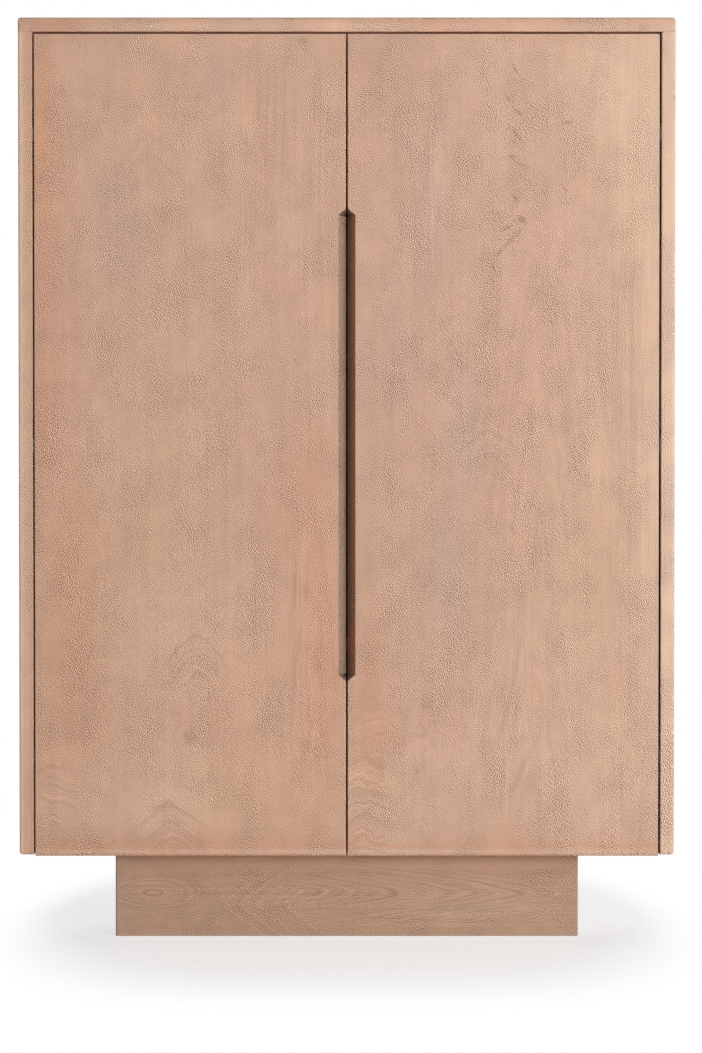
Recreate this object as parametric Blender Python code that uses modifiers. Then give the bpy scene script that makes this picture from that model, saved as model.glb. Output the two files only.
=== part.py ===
"""Tall two-door storage cabinet: a board case on a recessed plinth, with flush doors
on hidden link hinges and one long finger pull where the doors meet.

Metres, +Z up. The front faces -Y, and the origin is the middle of the footprint on
the floor.
"""
import math

import bmesh
import bpy
from mathutils import Matrix, Vector

# Driving dimensions
WIDTH = 1.000
DEPTH = 0.450
HEIGHT = 1.410
BOARD = 0.022                  # thickness of every solid board
PLINTH_HEIGHT = 0.135
PLINTH_SIDE_RECESS = 0.1415    # from the case's outer sides in to the plinth
PLINTH_FRONT_RECESS = 0.060    # from the door faces back to the plinth
PLINTH_BACK_RECESS = 0.020

# Clearances
SEAM = 0.0003                  # between pieces that touch
SAME_PLACE = 0.00015           # an edge this close to a plane lies on it
WELD = 0.000003                # points this close become one
OVERRUN = 0.004                # how far a cutter runs past the face it opens
HINGE_GAP = 0.0022             # door edge to side panel
TOP_GAP = 0.003                # door to top panel
MEETING_GAP = 0.0024           # door to door
DOOR_TO_CASE = 0.002           # door back to rail and bottom panel
DOOR_DROP = 0.002              # door foot below the case bottom

# Rounded edges
CASE_ROUND = 0.005             # outer edges of the case
INNER_ROUND = 0.002            # front edge beside the door
DOOR_ROUND = 0.0015            # front edges of the doors
DOOR_FOOT_ROUND = 0.008        # lower front edge of the doors
BOARD_ROUND = 0.001            # edges of inner boards
PLINTH_ROUND = 0.003
ROUND_STEPS = 4
SMALL_STEPS = 2
SMOOTH_ANGLE = math.radians(35)

# Back panel, rail and shelves
BACK_THICKNESS = 0.008
BACK_REBATE = 0.010            # how far the back panel runs into side and top
RAIL_HEIGHT = 0.045
DADO_DEPTH = 0.006             # the fixed shelf runs this far into the sides
SHELF_FRONT_RECESS = 0.030     # shelf front behind the door backs
LOOSE_SHELF_PLAY = 0.0015      # at each end of an adjustable shelf
MIDDLE_SHELF_HEIGHT = 0.635    # top of the fixed shelf above the case bottom

# Shelf pins and their rows of holes
PIN_RADIUS = 0.0025
PIN_HOLE_PLAY = 0.0003
PIN_IN_WOOD = 0.009
PIN_REACH = 0.010              # how far a pin stands out of the side
PIN_COLLAR_RADIUS = 0.0045
PIN_COLLAR = 0.0015
PIN_HOLE_DEPTH = 0.012
PIN_PITCH = 0.032
PIN_ROW_INSET = 0.045          # row of holes from shelf front and shelf back
PIN_ROWS_EACH_WAY = 2          # spare holes above and below the one in use
PIN_SIDES = 16

# Finger pull, cut into both meeting edges
PULL_LENGTH = 0.724
PULL_WIDTH = 0.0122            # bevel on each door, measured on its face
PULL_DEPTH = 0.017             # bevel depth at the meeting edge

# Hidden link hinge, seen in plan. Depth runs from the leaf's face into its board,
# and setback runs from the cabinet's front face towards the back.
HINGE_COUNT = 3
HINGE_END_INSET = 0.150        # outer hinges from the door's ends
AXIS_SETBACK = 0.0015          # the door turns about this line in the gap
ROOT_DEPTH = 0.0018            # pin that carries a link in its own leaf
ROOT_SETBACK = 0.0068
CENTRE_SETBACK = 0.0155        # pin that joins the two links, in mid gap
TAIL_DEPTH = 0.0122            # pin that slides in the other leaf, closed
TAIL_SETBACK = 0.0143
DOOR_OPENING = math.radians(95)
LINK_SHARE = 0.73              # a link's turn for each turn of the door
SLOT_POINTS = 5
LINK_HALF_WIDTH = 0.0019
LINK_PIN_RADIUS = 0.0010
LINK_PIN_PLAY = 0.0003
CENTRE_PIN_PLAY = 0.0007       # the open pivot of the coupled linkage
SLOT_PLAY = 0.0005
LEAF_WALL = 0.0012
LEAF_FRONT_SETBACK = 0.0030    # leaf body from the cabinet's front face
LEAF_BACK_SETBACK = 0.0192
LEAF_DEPTH = 0.0165
LEAF_FACE_SINK = 0.0002        # leaf face below the wood
LEAF_END_WALL = 0.0030
LEAF_HALF_CAVITY = 0.0220      # half the height of the room for the links
FLANGE_HALF_HEIGHT = 0.0380
FLANGE_THICKNESS = 0.0020
FLANGE_SCREW_RADIUS = 0.0021
FORK_INNER = 0.0110            # fork plates start this far from mid height
FORK_OUTER = 0.0215
TONGUE_HALF = 0.0105
PIN_LANDING = 0.0018           # how far a hinge pin enters an end wall
SLOT_CUT = 0.0022              # how far a slot enters an end wall
HINGE_PIN_SIDES = 12

# Magnetic catches under the rail and stops at the foot of the doors
CATCH_WIDTH = 0.044
CATCH_DEPTH = 0.014
CATCH_HEIGHT = 0.013
CATCH_FROM_MEETING = 0.045
STRIKE_WIDTH = 0.030
STRIKE_HEIGHT = 0.011
STRIKE_THICKNESS = 0.0015
STRIKE_ROUND = 0.0003
STRIKE_TO_CATCH = 0.0003
BUMPER_RADIUS = 0.0045
BUMPER_FROM_MEETING = 0.060
BUMPER_SIDES = 20

# Glue blocks in the plinth's corners
BLOCK_SIZE = 0.038
BLOCK_DROP = 0.030             # block bottom above the floor

# Places worked out from the sizes above
HALF_WIDTH = WIDTH / 2
FRONT = -DEPTH / 2
BACK = DEPTH / 2
CASE_BOTTOM = PLINTH_HEIGHT
TOP_UNDERSIDE = HEIGHT - BOARD
SIDE_FACE = HALF_WIDTH - BOARD          # inner face of a side panel
DOOR_BACK = FRONT + BOARD
CARCASS_FRONT = DOOR_BACK + DOOR_TO_CASE
BACK_PANEL_FRONT = BACK - BACK_THICKNESS
INNER_BACK = BACK_PANEL_FRONT - SEAM
BOTTOM_TOP = CASE_BOTTOM + BOARD
DOOR_LOW = CASE_BOTTOM - DOOR_DROP
DOOR_HIGH = TOP_UNDERSIDE - TOP_GAP
DOOR_MIDDLE = (CASE_BOTTOM + DOOR_HIGH) / 2
RAIL_LOW = TOP_UNDERSIDE - RAIL_HEIGHT
SHELF_FRONT = DOOR_BACK + SHELF_FRONT_RECESS
MIDDLE_SHELF_TOP = CASE_BOTTOM + MIDDLE_SHELF_HEIGHT
LOWER_SHELF_TOP = (BOTTOM_TOP + MIDDLE_SHELF_TOP - BOARD) / 2 + BOARD / 2
UPPER_SHELF_TOP = (MIDDLE_SHELF_TOP + RAIL_LOW) / 2 + BOARD / 2
PIN_ROWS = (SHELF_FRONT + PIN_ROW_INSET, INNER_BACK - PIN_ROW_INSET)
HINGE_SPAN = DOOR_HIGH - CASE_BOTTOM - 2 * HINGE_END_INSET
HINGE_HEIGHTS = [
    CASE_BOTTOM + HINGE_END_INSET + step * HINGE_SPAN / (HINGE_COUNT - 1)
    for step in range(HINGE_COUNT)
]
SIDES = {"left": -1, "right": 1}

COLOURS = {
    # base colour, roughness, metallic
    "mango_wood": ((0.565, 0.346, 0.238), 0.75, 0.0),
    "plinth_wood": ((0.434, 0.266, 0.174), 0.75, 0.0),
    "inner_wood": ((0.520, 0.330, 0.220), 0.80, 0.0),
    "back_board": ((0.480, 0.310, 0.200), 0.80, 0.0),
    "zinc": ((0.560, 0.555, 0.540), 0.38, 1.0),
    "steel": ((0.620, 0.620, 0.625), 0.30, 1.0),
    "catch_plastic": ((0.720, 0.690, 0.640), 0.50, 0.0),
    "soft_rubber": ((0.350, 0.345, 0.335), 0.65, 0.0),
}


def clear_scene():
    for thing in list(bpy.data.objects):
        bpy.data.objects.remove(thing, do_unlink=True)


def new_collection(name):
    made = bpy.data.collections.new(name)
    bpy.context.scene.collection.children.link(made)
    return made


clear_scene()
PARTS = new_collection("storage_cabinet")
CUTTERS = new_collection("cutters")
MATERIALS = {}


def material(finish):
    """The Principled material of a finish, made once."""
    if finish not in MATERIALS:
        colour, roughness, metallic = COLOURS[finish]
        made = bpy.data.materials.new(finish)
        made.use_nodes = True
        shader = made.node_tree.nodes["Principled BSDF"]
        shader.inputs["Base Color"].default_value = (*colour, 1.0)
        shader.inputs["Roughness"].default_value = roughness
        shader.inputs["Metallic"].default_value = metallic
        made.diffuse_color = (*colour, 1.0)
        MATERIALS[finish] = made
    return MATERIALS[finish]


def add_object(name, mesh, finish):
    """A part when it has a finish, and a cutter when it has none."""
    made = bpy.data.objects.new(name, mesh)
    if finish:
        mesh.materials.append(material(finish))
        PARTS.objects.link(made)
    else:
        made.hide_render = True
        made.display_type = "WIRE"
        CUTTERS.objects.link(made)
    return made


def mesh_from(name, bm):
    bmesh.ops.recalc_face_normals(bm, faces=bm.faces)
    mesh = bpy.data.meshes.new(name)
    bm.to_mesh(mesh)
    bm.free()
    return mesh


def cube_into(bm, low, high):
    """A box between two corners, added to bm."""
    low = Vector(low)
    high = Vector(high)
    middle = (low + high) / 2
    size = high - low
    place = Matrix.Translation(middle) @ Matrix.Diagonal((*size, 1.0))
    return bmesh.ops.create_cube(bm, size=1.0, matrix=place)


def rod_into(bm, start, end, radius, sides):
    """A capped cylinder from start to end, added to bm."""
    start = Vector(start)
    end = Vector(end)
    along = end - start
    turn = along.to_track_quat("Z", "Y").to_matrix().to_4x4()
    place = Matrix.Translation((start + end) / 2) @ turn
    bmesh.ops.create_cone(bm, cap_ends=True, segments=sides, radius1=radius,
                          radius2=radius, depth=along.length, matrix=place)


def near(value, target):
    return abs(value - target) < SAME_PLACE


def rounded(piece, steps, *rules):
    """Rounds edges. Each rule is a radius and a test of an edge's middle."""
    largest = max(radius for radius, chosen in rules)
    mesh = piece.data
    weights = mesh.attributes.new("bevel_weight_edge", "FLOAT", "EDGE")
    for edge in mesh.edges:
        first, second = (mesh.vertices[index].co for index in edge.vertices)
        for radius, chosen in rules:
            if chosen((first + second) / 2):
                weights.data[edge.index].value = radius / largest
                break
    modifier = piece.modifiers.new("rounding", "BEVEL")
    modifier.limit_method = "WEIGHT"
    modifier.offset_type = "OFFSET"
    modifier.width = largest
    modifier.segments = steps
    return piece


def plain_box(name, low, high, finish):
    bm = bmesh.new()
    cube_into(bm, low, high)
    return add_object(name, mesh_from(name, bm), finish)


def board(name, low, high, finish, radius=BOARD_ROUND):
    """A flat board with all its edges lightly rounded."""
    piece = plain_box(name, low, high, finish)
    return rounded(piece, SMALL_STEPS, (radius, lambda middle: True))


def boxes_cutter(name, spans):
    bm = bmesh.new()
    for low, high in spans:
        cube_into(bm, low, high)
    return add_object(name, mesh_from(name, bm), None)


def rods_cutter(name, rods, radius, sides):
    bm = bmesh.new()
    for start, end in rods:
        rod_into(bm, start, end, radius, sides)
    return add_object(name, mesh_from(name, bm), None)


def combine(target, tool, operation):
    """A Boolean modifier of the target with a wire tool."""
    modifier = target.modifiers.new(tool.name, "BOOLEAN")
    modifier.operation = operation
    modifier.solver = "EXACT"
    modifier.object = tool


def mirrored(side, low, high):
    """The corners of a box on one side, from its right-hand x values."""
    if side > 0:
        return low, high
    return (-high[0], low[1], low[2]), (-low[0], high[1], high[2])


# Case
def make_top_panel():
    top = plain_box("top_panel", (-HALF_WIDTH, FRONT, TOP_UNDERSIDE),
                    (HALF_WIDTH, BACK, HEIGHT), "mango_wood")

    def upper_or_corner(middle):
        corner = near(abs(middle.x), HALF_WIDTH) and near(middle.y, FRONT)
        return near(middle.z, HEIGHT) or corner

    rounded(top, ROUND_STEPS, (CASE_ROUND, upper_or_corner))
    reach = SIDE_FACE + BACK_REBATE
    combine(top, boxes_cutter("top_rebate", [
        ((-reach, BACK_PANEL_FRONT, TOP_UNDERSIDE - OVERRUN),
         (reach, BACK + OVERRUN, TOP_UNDERSIDE + BACK_REBATE))]), "DIFFERENCE")
    return top


def pin_heights():
    """Heights of all pin holes: the one in use and its spares, for each shelf."""
    heights = []
    for shelf_top in (LOWER_SHELF_TOP, UPPER_SHELF_TOP):
        used = shelf_top - BOARD - SEAM - PIN_RADIUS
        for step in range(-PIN_ROWS_EACH_WAY, PIN_ROWS_EACH_WAY + 1):
            heights.append(used + step * PIN_PITCH)
    return heights


def make_side(word, side):
    name = word + "_side"
    high = TOP_UNDERSIDE - SEAM
    low_corner, high_corner = mirrored(
        side, (SIDE_FACE, FRONT, CASE_BOTTOM), (HALF_WIDTH, BACK, high))
    panel = plain_box(name, low_corner, high_corner, "mango_wood")
    outer = side * HALF_WIDTH

    def outer_edge(middle):
        upright = near(middle.x, outer) and near(middle.y, FRONT)
        foot = near(middle.z, CASE_BOTTOM)
        return upright or (foot and (near(middle.x, outer) or near(middle.y, FRONT)))

    def inner_edge(middle):
        return near(middle.x, side * SIDE_FACE) and near(middle.y, FRONT)

    rounded(panel, ROUND_STEPS, (CASE_ROUND, outer_edge), (INNER_ROUND, inner_edge))

    low_corner, high_corner = mirrored(
        side, (SIDE_FACE - OVERRUN, BACK_PANEL_FRONT, CASE_BOTTOM - OVERRUN),
        (SIDE_FACE + BACK_REBATE, BACK + OVERRUN, high + OVERRUN))
    combine(panel, boxes_cutter(word + "_rebate", [(low_corner, high_corner)]),
            "DIFFERENCE")
    dado = mirrored(
        side,
        (SIDE_FACE - OVERRUN, SHELF_FRONT - SEAM, MIDDLE_SHELF_TOP - BOARD - SEAM),
        (SIDE_FACE + DADO_DEPTH, BACK + OVERRUN, MIDDLE_SHELF_TOP + SEAM))
    combine(panel, boxes_cutter(word + "_dado", [dado]), "DIFFERENCE")
    holes = [((side * (SIDE_FACE - OVERRUN), row, height),
              (side * (SIDE_FACE + PIN_HOLE_DEPTH), row, height))
             for row in PIN_ROWS for height in pin_heights()]
    combine(panel, rods_cutter(word + "_pin_holes", holes,
                               PIN_RADIUS + PIN_HOLE_PLAY, PIN_SIDES), "DIFFERENCE")
    cut_mortises(panel, word + "_side", side, "case")
    return panel


def make_inner_boards():
    inside = SIDE_FACE - SEAM
    board("bottom_panel", (-inside, CARCASS_FRONT, CASE_BOTTOM),
          (inside, INNER_BACK, BOTTOM_TOP), "inner_wood")
    board("top_rail", (-inside, CARCASS_FRONT, RAIL_LOW),
          (inside, CARCASS_FRONT + BOARD, TOP_UNDERSIDE - SEAM), "inner_wood")
    reach = SIDE_FACE + DADO_DEPTH - SEAM
    board("middle_shelf", (-reach, SHELF_FRONT, MIDDLE_SHELF_TOP - BOARD),
          (reach, INNER_BACK, MIDDLE_SHELF_TOP), "inner_wood")
    reach = SIDE_FACE - LOOSE_SHELF_PLAY
    for name, shelf_top in (("lower_shelf", LOWER_SHELF_TOP),
                            ("upper_shelf", UPPER_SHELF_TOP)):
        board(name, (-reach, SHELF_FRONT, shelf_top - BOARD),
              (reach, INNER_BACK - SEAM, shelf_top), "inner_wood")
    reach = SIDE_FACE + BACK_REBATE - SEAM
    plain_box("back_panel", (-reach, BACK_PANEL_FRONT + SEAM, CASE_BOTTOM),
              (reach, BACK, TOP_UNDERSIDE + BACK_REBATE - SEAM), "back_board")


def make_shelf_pins():
    """One pin under each corner of both adjustable shelves."""
    for shelf, shelf_top in (("lower", LOWER_SHELF_TOP), ("upper", UPPER_SHELF_TOP)):
        height = shelf_top - BOARD - SEAM - PIN_RADIUS
        for word, side in SIDES.items():
            for place, row in zip(("front", "back"), PIN_ROWS):
                name = f"{shelf}_pin_{word}_{place}"
                bm = bmesh.new()
                rod_into(bm, (side * (SIDE_FACE + PIN_IN_WOOD), row, height),
                         (side * (SIDE_FACE - PIN_REACH), row, height),
                         PIN_RADIUS, PIN_SIDES)
                pin = add_object(name, mesh_from(name, bm), "steel")
                face = SIDE_FACE - SEAM
                collar_height = height - PIN_COLLAR_RADIUS + PIN_RADIUS
                collar = rods_cutter(name + "_collar", [(
                    (side * face, row, collar_height),
                    (side * (face - PIN_COLLAR), row, collar_height))],
                    PIN_COLLAR_RADIUS, PIN_SIDES)
                combine(pin, collar, "UNION")


# Doors
def make_door(word, side):
    name = word + "_door"
    inner = MEETING_GAP / 2
    outer = SIDE_FACE - HINGE_GAP
    low_corner, high_corner = mirrored(
        side, (inner, FRONT, DOOR_LOW), (outer, DOOR_BACK, DOOR_HIGH))
    door = plain_box(name, low_corner, high_corner, "mango_wood")

    def foot(middle):
        return near(middle.y, FRONT) and near(middle.z, DOOR_LOW)

    def other_front(middle):
        return near(middle.y, FRONT)

    rounded(door, ROUND_STEPS, (DOOR_FOOT_ROUND, foot), (DOOR_ROUND, other_front))
    combine(door, pull_cutter(word, side), "DIFFERENCE")
    cut_mortises(door, name, side, "door")
    return door


def pull_cutter(word, side):
    """The bevelled half of the finger pull, with its ends cut at 45 degrees."""
    edge = MEETING_GAP / 2
    half = PULL_LENGTH / 2
    slope = PULL_DEPTH / PULL_WIDTH
    past = OVERRUN
    corners = []
    for end in (-1, 1):
        tip = DOOR_MIDDLE + end * half
        corners += [
            (edge - past, FRONT - past, tip + end * past),
            (edge + PULL_WIDTH + past / slope, FRONT - past,
             tip - end * PULL_WIDTH),
            (edge, FRONT + PULL_DEPTH, tip - end * PULL_WIDTH),
            (edge - past, FRONT + PULL_DEPTH + past * slope, tip - end * PULL_WIDTH),
        ]
    bm = bmesh.new()
    verts = [bm.verts.new((side * x, y, z)) for x, y, z in corners]
    made = bmesh.ops.convex_hull(bm, input=verts)
    loose = [vert for vert in made["geom_interior"]
             if isinstance(vert, bmesh.types.BMVert)]
    bmesh.ops.delete(bm, geom=loose, context="VERTS")
    return add_object(word + "_pull", mesh_from(word + "_pull", bm), None)


# Hidden link hinges
def leaf_face(carrier):
    """Distance of a leaf's face from the side panel, and which way its body runs."""
    if carrier == "case":
        return -LEAF_FACE_SINK, -1
    return HINGE_GAP + LEAF_FACE_SINK, 1


def plan(side, across, setback, height):
    """World place from a distance off the side panel and a setback."""
    return (side * (SIDE_FACE - across), FRONT + setback, height)


def plan_box(side, across, setback, height):
    """World corners of a box given by three spans."""
    first = plan(side, across[0], setback[0], height[0])
    second = plan(side, across[1], setback[1], height[1])
    low = tuple(min(pair) for pair in zip(first, second))
    high = tuple(max(pair) for pair in zip(first, second))
    return low, high


def cut_mortises(panel, name, side, carrier):
    """Pockets for the three hinge leaves, each with a shallow step for its flange."""
    face, way = leaf_face(carrier)
    surface = 0 if carrier == "case" else HINGE_GAP
    start = surface - way * OVERRUN
    body_end = face + way * (LEAF_DEPTH + SEAM)
    flange_end = face + way * (FLANGE_THICKNESS + SEAM)
    setback = (LEAF_FRONT_SETBACK - SEAM, LEAF_BACK_SETBACK + SEAM)
    body_half = LEAF_HALF_CAVITY + LEAF_END_WALL + SEAM
    flange_half = FLANGE_HALF_HEIGHT + SEAM
    bodies = []
    flanges = []
    for height in HINGE_HEIGHTS:
        bodies.append(plan_box(side, (start, body_end), setback,
                               (height - body_half, height + body_half)))
        flanges.append(plan_box(side, (start, flange_end), setback,
                                (height - flange_half, height + flange_half)))
    combine(panel, boxes_cutter(name + "_flange_steps", flanges), "DIFFERENCE")
    combine(panel, boxes_cutter(name + "_mortises", bodies), "DIFFERENCE")


def make_leaf(name, side, carrier, height):
    """A zinc box that holds a link's root pin and the slots for the other link."""
    face, way = leaf_face(carrier)
    body_half = LEAF_HALF_CAVITY + LEAF_END_WALL
    setback = (LEAF_FRONT_SETBACK, LEAF_BACK_SETBACK)
    leaf = plain_box(name, *plan_box(
        side, (face, face + way * LEAF_DEPTH), setback,
        (height - body_half, height + body_half)), "zinc")
    flange = boxes_cutter(name + "_flange", [plan_box(
        side, (face, face + way * FLANGE_THICKNESS), setback,
        (height - FLANGE_HALF_HEIGHT, height + FLANGE_HALF_HEIGHT))])
    combine(leaf, flange, "UNION")
    cavity = boxes_cutter(name + "_cavity", [plan_box(
        side, (face - way * OVERRUN, face + way * (LEAF_DEPTH - LEAF_WALL)),
        (setback[0] + LEAF_WALL, setback[1] - LEAF_WALL),
        (height - LEAF_HALF_CAVITY, height + LEAF_HALF_CAVITY))])
    combine(leaf, cavity, "DIFFERENCE")

    base = 0 if carrier == "case" else HINGE_GAP
    slot_half = LEAF_HALF_CAVITY + SLOT_CUT
    slot = flat_piece(name + "_slot", side, tail_path(carrier),
                      LINK_PIN_RADIUS + SLOT_PLAY, [],
                      (height - slot_half, height + slot_half), None)
    combine(leaf, slot, "DIFFERENCE")

    root = (base + way * ROOT_DEPTH, ROOT_SETBACK)
    pin_half = LEAF_HALF_CAVITY + PIN_LANDING
    pin = rods_cutter(name + "_root_pin", [(
        plan(side, *root, height - pin_half), plan(side, *root, height + pin_half))],
        LINK_PIN_RADIUS, HINGE_PIN_SIDES)
    combine(leaf, pin, "UNION")

    screw_height = (body_half + FLANGE_HALF_HEIGHT) / 2
    middle = (setback[0] + setback[1]) / 2
    screws = rods_cutter(name + "_screw_holes", [(
        plan(side, face - way * OVERRUN, middle, height + end * screw_height),
        plan(side, face + way * (FLANGE_THICKNESS + OVERRUN), middle,
             height + end * screw_height)) for end in (-1, 1)],
        FLANGE_SCREW_RADIUS, HINGE_PIN_SIDES)
    combine(leaf, screws, "DIFFERENCE")
    return leaf


def turned(point, centre, angle):
    """A plan point turned about a centre."""
    across = point[0] - centre[0]
    setback = point[1] - centre[1]
    return (centre[0] + across * math.cos(angle) - setback * math.sin(angle),
            centre[1] + across * math.sin(angle) + setback * math.cos(angle))


def tail_path(carrier):
    """Where the other link's tail pin runs in this carrier's leaf as a door opens."""
    axis = (HINGE_GAP / 2, AXIS_SETBACK)
    root, _, tail = link_points("case")
    path = []
    for step in range(SLOT_POINTS):
        door_turn = DOOR_OPENING * step / (SLOT_POINTS - 1)
        in_case = turned(tail, root, -LINK_SHARE * door_turn)
        path.append(turned(in_case, axis, door_turn))
    if carrier == "door":
        return path
    return [(HINGE_GAP - across, setback) for across, setback in path]


def arc_points(centre, radius, start, end, steps):
    return [(centre[0] + radius * math.cos(start + (end - start) * step / steps),
             centre[1] + radius * math.sin(start + (end - start) * step / steps))
            for step in range(steps + 1)]


def strip_outline(points, half_width):
    """Outline of a strip of one width along a bent line, with round ends."""
    steps = HINGE_PIN_SIDES // 2
    left = []
    right = []
    headings = [math.atan2(after[1] - before[1], after[0] - before[0])
                for before, after in zip(points, points[1:])]
    quarter = math.pi / 2
    left += arc_points(points[0], half_width, headings[0] + 2 * quarter,
                       headings[0] + quarter, steps // 2)
    right += arc_points(points[0], half_width, headings[0] - 2 * quarter,
                        headings[0] - quarter, steps // 2)[1:]
    for corner, before, after in zip(points[1:-1], headings, headings[1:]):
        bend = (after - before + math.pi) % (2 * math.pi) - math.pi
        inner_reach = half_width / math.cos(bend / 2)
        inner_heading = before + bend / 2 + math.copysign(quarter, bend)
        inner = (corner[0] + inner_reach * math.cos(inner_heading),
                 corner[1] + inner_reach * math.sin(inner_heading))
        away = -math.copysign(quarter, bend)
        outer = arc_points(corner, half_width, before + away,
                           before + bend + away, 2)
        left += [inner] if bend > 0 else outer
        right += outer if bend > 0 else [inner]
    left += arc_points(points[-1], half_width, headings[-1] + quarter,
                       headings[-1], steps // 2)
    right += arc_points(points[-1], half_width, headings[-1] - quarter,
                        headings[-1], steps // 2)[:-1]
    return left + right[::-1]


def flat_piece(name, side, points, half_width, holes, span, finish):
    """A strip through plan points, cut from plate, between two heights."""
    curve = bpy.data.curves.new(name, "CURVE")
    curve.dimensions = "2D"
    curve.fill_mode = "BOTH"
    curve.extrude = (span[1] - span[0]) / 2
    rings = [strip_outline(points, half_width)]
    for centre, radius in holes:
        rings.append(arc_points(centre, radius, 0, 2 * math.pi,
                                HINGE_PIN_SIDES)[:-1])
    for ring in rings:
        spline = curve.splines.new("POLY")
        spline.points.add(len(ring) - 1)
        for point, (across, setback) in zip(spline.points, ring):
            x, y, _ = plan(side, across, setback, 0)
            point.co = (x, y, 0, 1)
        spline.use_cyclic_u = True
    source = bpy.data.objects.new(name + "_outline", curve)
    CUTTERS.objects.link(source)
    source.location = (0, 0, (span[0] + span[1]) / 2)
    bpy.context.view_layer.update()
    ready = source.evaluated_get(bpy.context.evaluated_depsgraph_get())
    mesh = bpy.data.meshes.new_from_object(ready)
    mesh.transform(source.matrix_world)
    bpy.data.objects.remove(source, do_unlink=True)
    bm = bmesh.new()
    bm.from_mesh(mesh)
    bmesh.ops.remove_doubles(bm, verts=bm.verts, dist=WELD)
    bmesh.ops.recalc_face_normals(bm, faces=bm.faces)
    bm.to_mesh(mesh)
    bm.free()
    mesh.name = name
    mesh.materials.clear()
    return add_object(name, mesh, finish)


def link_points(carrier):
    """Root, centre and tail pins of the link whose root is in the carrier's leaf."""
    middle = HINGE_GAP / 2
    points = [(-ROOT_DEPTH, ROOT_SETBACK), (middle, CENTRE_SETBACK),
              (HINGE_GAP + TAIL_DEPTH, TAIL_SETBACK)]
    if carrier == "case":
        return points
    return [(HINGE_GAP - across, setback) for across, setback in points]


def make_fork(name, side, height):
    """The case's link: two plates on a root pin, joined by centre and tail pins."""
    root, centre, tail = points = link_points("case")
    hole = [(root, LINK_PIN_RADIUS + LINK_PIN_PLAY)]
    plates = []
    for word, low, high in (("", -FORK_OUTER, -FORK_INNER),
                            ("_upper_plate", FORK_INNER, FORK_OUTER)):
        plates.append(flat_piece(name + word, side, points, LINK_HALF_WIDTH, hole,
                                 (height + low, height + high),
                                 None if word else "steel"))
    fork, upper = plates
    combine(fork, upper, "UNION")
    inside = (FORK_INNER + FORK_OUTER) / 2
    centre_pin = rods_cutter(name + "_centre_pin", [(
        plan(side, *centre, height - inside), plan(side, *centre, height + inside))],
        LINK_PIN_RADIUS, HINGE_PIN_SIDES)
    combine(fork, centre_pin, "UNION")
    combine(fork, tail_pin(name, side, tail, height), "UNION")
    return fork


def make_tongue(name, side, height):
    """The door's link: one plate between the fork's plates."""
    root, centre, tail = points = link_points("door")
    holes = [(root, LINK_PIN_RADIUS + LINK_PIN_PLAY),
             (centre, LINK_PIN_RADIUS + CENTRE_PIN_PLAY)]
    tongue = flat_piece(name, side, points, LINK_HALF_WIDTH + CENTRE_PIN_PLAY / 2,
                        holes, (height - TONGUE_HALF, height + TONGUE_HALF), "steel")
    combine(tongue, tail_pin(name, side, tail, height), "UNION")
    return tongue


def tail_pin(name, side, tail, height):
    reach = LEAF_HALF_CAVITY + PIN_LANDING
    return rods_cutter(name + "_tail_pin", [(
        plan(side, *tail, height - reach), plan(side, *tail, height + reach))],
        LINK_PIN_RADIUS, HINGE_PIN_SIDES)


# Catches and stops
def make_catch(word, side):
    """A magnetic catch under the rail, its steel strike and a soft stop."""
    low = CATCH_FROM_MEETING
    high_z = RAIL_LOW - SEAM
    catch_front = DOOR_BACK + STRIKE_THICKNESS + SEAM + STRIKE_TO_CATCH
    board(word + "_catch",
          *mirrored(side, (low, catch_front, high_z - CATCH_HEIGHT),
                    (low + CATCH_WIDTH, catch_front + CATCH_DEPTH, high_z)),
          "catch_plastic")
    start = low + (CATCH_WIDTH - STRIKE_WIDTH) / 2
    middle = high_z - CATCH_HEIGHT / 2
    strike = board(word + "_strike",
                   *mirrored(side, (start, DOOR_BACK + SEAM, middle - STRIKE_HEIGHT / 2),
                             (start + STRIKE_WIDTH, DOOR_BACK + SEAM + STRIKE_THICKNESS,
                              middle + STRIKE_HEIGHT / 2)),
                   "steel", STRIKE_ROUND)
    name = word + "_bumper"
    middle = (CASE_BOTTOM + BOTTOM_TOP) / 2
    place = side * BUMPER_FROM_MEETING
    bm = bmesh.new()
    rod_into(bm, (place, CARCASS_FRONT - SEAM, middle),
             (place, DOOR_BACK + SEAM, middle), BUMPER_RADIUS, BUMPER_SIDES)
    add_object(name, mesh_from(name, bm), "soft_rubber")
    return strike


# Plinth
def make_plinth():
    half = HALF_WIDTH - PLINTH_SIDE_RECESS
    front = FRONT + PLINTH_FRONT_RECESS
    back = BACK - PLINTH_BACK_RECESS
    top = PLINTH_HEIGHT - SEAM

    for name, y, outer in (("plinth_front", front, front),
                           ("plinth_back", back - BOARD, back)):
        plank = plain_box(name, (-half, y, 0), (half, y + BOARD, top), "plinth_wood")
        rounded(plank, ROUND_STEPS, (PLINTH_ROUND, lambda middle: (
            near(middle.y, outer) and near(abs(middle.x), half))))
    for word, side in SIDES.items():
        plain_box("plinth_" + word,
                  *mirrored(side, (half - BOARD, front + BOARD + SEAM, 0),
                            (half, back - BOARD - SEAM, top)), "plinth_wood")
        for place, near_edge, way in (("front", front + BOARD + SEAM, 1),
                                      ("back", back - BOARD - SEAM, -1)):
            inner = half - BOARD - SEAM
            first = near_edge + way * SEAM
            second = first + way * BLOCK_SIZE
            board(f"plinth_block_{word}_{place}",
                  *mirrored(side, (inner - BLOCK_SIZE, min(first, second), BLOCK_DROP),
                            (inner, max(first, second), top - SEAM)),
                  "inner_wood")


# Joint axes
def axis_empty(name, side, across, setback, parent=None):
    """An empty on a vertical joint axis, which carries the pieces that turn."""
    made = bpy.data.objects.new(name, None)
    PARTS.objects.link(made)
    made.location = plan(side, across, setback, DOOR_MIDDLE)
    if parent:
        carry(parent, made)
    bpy.context.view_layer.update()
    return made


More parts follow.
